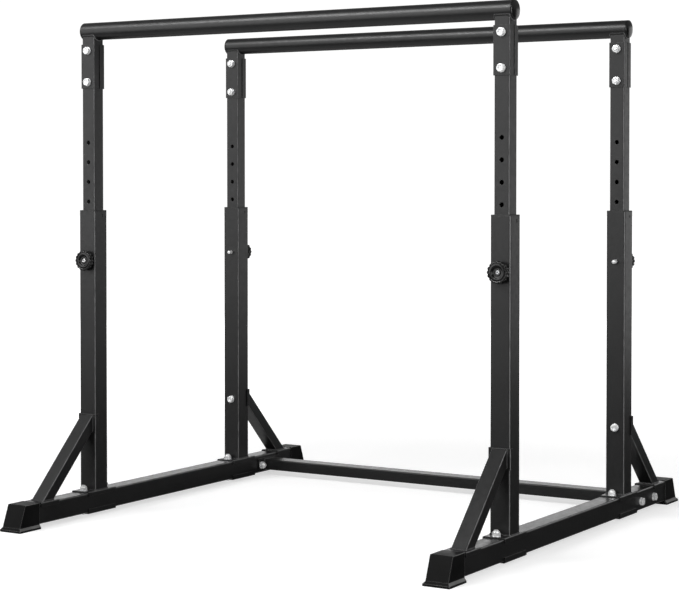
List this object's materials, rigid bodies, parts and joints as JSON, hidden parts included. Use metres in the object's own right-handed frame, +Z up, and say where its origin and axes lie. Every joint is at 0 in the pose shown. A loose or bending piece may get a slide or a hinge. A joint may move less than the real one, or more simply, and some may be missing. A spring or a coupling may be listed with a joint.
{
  "type": "parallel bars",
  "caption": "Free-standing gymnastics parallel bars: round handrails on telescoping pin-locked posts, braced onto two floor rails with rubber foot caps and a rear cross-beam.",
  "frame": {"origin": "on the floor, at the centre of the footprint", "axes": "+X runs along the bars from left to right, +Y from the front bar to the rear bar (the cross-beam is on the rear side), +Z up"},
  "size_m": [1.2428, 1.284, 1.2563],
  "materials": {
    "powder_coat": "satin black powder coat on steel tube, fine orange-peel texture",
    "foot_rubber": "moulded black rubber, matte",
    "liner_plastic": "moulded black nylon, matte",
    "cap_plastic": "moulded black polyethylene, low sheen",
    "knob_plastic": "moulded black phenolic, semi-gloss",
    "zinc_steel": "bright zinc-plated steel"
  },
  "bodies": {
    "base": {"base_lock_nuts": "zinc_steel", "base_washers": "zinc_steel", "brace_bolts": "zinc_steel", "cross_beam": "powder_coat", "cross_beam_bolts": "zinc_steel", "front_left_brace": "powder_coat", "front_left_bushing": "liner_plastic", "front_left_foot_cap": "foot_rubber", "front_left_lower_post": "powder_coat", "front_right_brace": "powder_coat", "front_right_bushing": "liner_plastic", "front_right_foot_cap": "foot_rubber", "front_right_lower_post": "powder_coat", "left_base_rail": "powder_coat", "rear_left_brace": "powder_coat", "rear_left_bushing": "liner_plastic", "rear_left_foot_cap": "foot_rubber", "rear_left_lower_post": "powder_coat", "rear_right_brace": "powder_coat", "rear_right_bushing": "liner_plastic", "rear_right_foot_cap": "foot_rubber", "rear_right_lower_post": "powder_coat", "right_base_rail": "powder_coat", "saddle_carriage_bolts": "zinc_steel", "saddle_under_plates": "powder_coat"},
    "front_bar_assembly": {"front_bar": "powder_coat", "front_bar_clamp_bolts": "zinc_steel", "front_bar_clamp_nuts": "zinc_steel", "front_bar_clamp_washers": "zinc_steel", "front_bar_guide_plugs": "liner_plastic", "front_bar_inner_clamp_plates": "powder_coat", "front_bar_left_cap": "cap_plastic", "front_bar_outer_clamp_plates": "powder_coat", "front_bar_right_cap": "cap_plastic", "front_left_upper_post": "powder_coat", "front_right_upper_post": "powder_coat"},
    "rear_bar_assembly": {"rear_bar": "powder_coat", "rear_bar_clamp_bolts": "zinc_steel", "rear_bar_clamp_nuts": "zinc_steel", "rear_bar_clamp_washers": "zinc_steel", "rear_bar_guide_plugs": "liner_plastic", "rear_bar_inner_clamp_plates": "powder_coat", "rear_bar_left_cap": "cap_plastic", "rear_bar_outer_clamp_plates": "powder_coat", "rear_bar_right_cap": "cap_plastic", "rear_left_upper_post": "powder_coat", "rear_right_upper_post": "powder_coat"},
    "front_left_pin_washer": {"front_left_lock_washer": "zinc_steel"},
    "front_left_pin": {"front_left_lock_pin": "zinc_steel", "front_left_lock_knob": "knob_plastic"},
    "front_right_pin_washer": {"front_right_lock_washer": "zinc_steel"},
    "front_right_pin": {"front_right_lock_pin": "zinc_steel", "front_right_lock_knob": "knob_plastic"},
    "rear_left_pin_washer": {"rear_left_lock_washer": "zinc_steel"},
    "rear_left_pin": {"rear_left_lock_pin": "zinc_steel", "rear_left_lock_knob": "knob_plastic"},
    "rear_right_pin_washer": {"rear_right_lock_washer": "zinc_steel"},
    "rear_right_pin": {"rear_right_lock_pin": "zinc_steel", "rear_right_lock_knob": "knob_plastic"}
  },
  "joints": [
    {"name": "front_bar_height", "type": "slide", "parent": "base", "child": "front_bar_assembly", "axis": [0, 0, 1], "range_m": [-0.3, 0]},
    {"name": "rear_bar_height", "type": "slide", "parent": "base", "child": "rear_bar_assembly", "axis": [0, 0, 1], "range_m": [-0.3, 0]},
    {"name": "front_left_pin_pull", "type": "slide", "parent": "base", "child": "front_left_pin_washer", "axis": [0, -1, 0], "range_m": [0, 0.06]},
    {"name": "front_left_knob_turn", "type": "hinge", "parent": "front_left_pin_washer", "child": "front_left_pin", "pos_m": [-0.588, -0.32, 0.65], "axis": [0, -1, 0], "continuous": true},
    {"name": "front_right_pin_pull", "type": "slide", "parent": "base", "child": "front_right_pin_washer", "axis": [0, -1, 0], "range_m": [0, 0.06]},
    {"name": "front_right_knob_turn", "type": "hinge", "parent": "front_right_pin_washer", "child": "front_right_pin", "pos_m": [0.588, -0.32, 0.65], "axis": [0, -1, 0], "continuous": true},
    {"name": "rear_left_pin_pull", "type": "slide", "parent": "base", "child": "rear_left_pin_washer", "axis": [0, 1, 0], "range_m": [0, 0.06]},
    {"name": "rear_left_knob_turn", "type": "hinge", "parent": "rear_left_pin_washer", "child": "rear_left_pin", "pos_m": [-0.588, 0.32, 0.65], "axis": [0, 1, 0], "continuous": true},
    {"name": "rear_right_pin_pull", "type": "slide", "parent": "base", "child": "rear_right_pin_washer", "axis": [0, 1, 0], "range_m": [0, 0.06]},
    {"name": "rear_right_knob_turn", "type": "hinge", "parent": "rear_right_pin_washer", "child": "rear_right_pin", "pos_m": [0.588, 0.32, 0.65], "axis": [0, 1, 0], "continuous": true}
  ]
}
